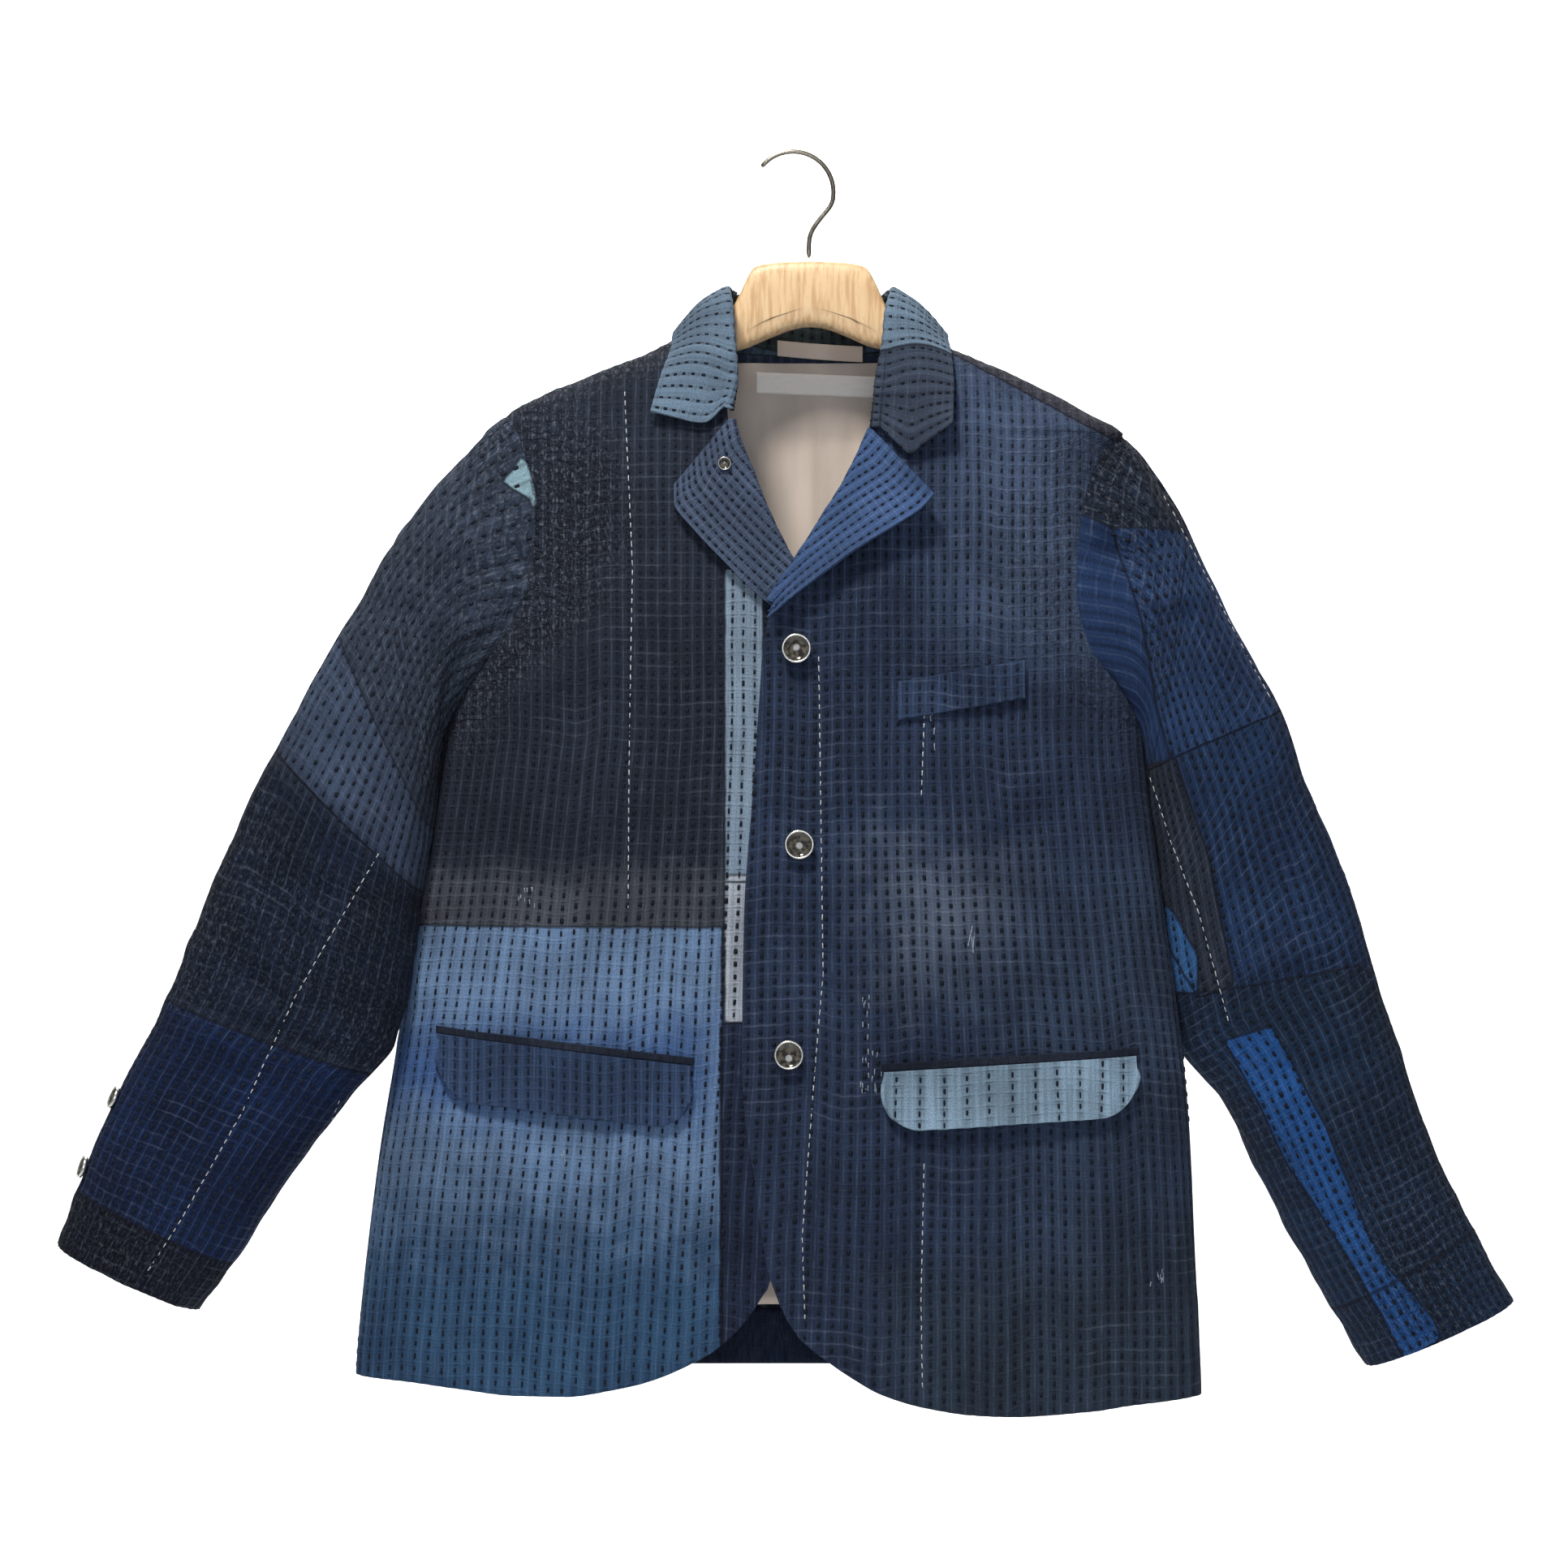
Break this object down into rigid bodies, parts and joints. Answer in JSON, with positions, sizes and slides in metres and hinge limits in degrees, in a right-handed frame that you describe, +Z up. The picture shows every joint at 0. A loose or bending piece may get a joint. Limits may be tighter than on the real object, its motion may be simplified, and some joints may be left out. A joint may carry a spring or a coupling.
{
  "type": "patchwork jacket on a hanger",
  "caption": "Blazer-cut patchwork jacket of running-stitch quilted indigo cotton, buttoned, hung on a wooden hanger with a wire hook.",
  "frame": {"origin": "underside of the crown of the hanger's hook, where it hangs on a rod", "axes": "+Z up, -Y out of the jacket's front, +X to the right of someone who faces its front"},
  "size_m": [1.002, 0.1492, 0.8655],
  "materials": {
    "indigo_quilted_cotton": "matte",
    "pale_indigo_cotton": "matte",
    "black_indigo_cotton": "matte",
    "taupe_lining": "satin",
    "plain_label": "matte",
    "smoky_button": "gloss",
    "beech_wood": "satin",
    "nickel_steel": "satin"
  },
  "bodies": {
    "root": {"front_right_side": "indigo_quilted_cotton", "front_left_side": "indigo_quilted_cotton", "back": "indigo_quilted_cotton", "sleeve_left_side_upper_front": "indigo_quilted_cotton", "sleeve_left_side_upper_back": "indigo_quilted_cotton", "sleeve_left_side_lower_front": "indigo_quilted_cotton", "sleeve_left_side_lower_back": "indigo_quilted_cotton", "sleeve_right_side_upper_front": "indigo_quilted_cotton", "sleeve_right_side_upper_back": "indigo_quilted_cotton", "sleeve_right_side_lower_front": "indigo_quilted_cotton", "sleeve_right_side_lower_back": "indigo_quilted_cotton", "lapel_left_side": "indigo_quilted_cotton", "lapel_right_side": "indigo_quilted_cotton", "flap_left_side": "indigo_quilted_cotton", "breast_welt": "indigo_quilted_cotton", "collar": "pale_indigo_cotton", "flap_right_side": "pale_indigo_cotton", "jet_left_side": "black_indigo_cotton", "jet_right_side": "black_indigo_cotton", "back_hem_facing": "black_indigo_cotton", "back_lining": "taupe_lining", "neck_loop": "taupe_lining", "neck_label": "plain_label", "button_top": "smoky_button", "button_middle": "smoky_button", "button_bottom": "smoky_button", "button_lapel": "smoky_button", "button_cuff_left_1": "smoky_button", "button_cuff_left_2": "smoky_button", "button_cuff_right_1": "smoky_button", "button_cuff_right_2": "smoky_button", "hanger_wood": "beech_wood", "hanger_hook": "nickel_steel"}
  },
  "joints": []
}
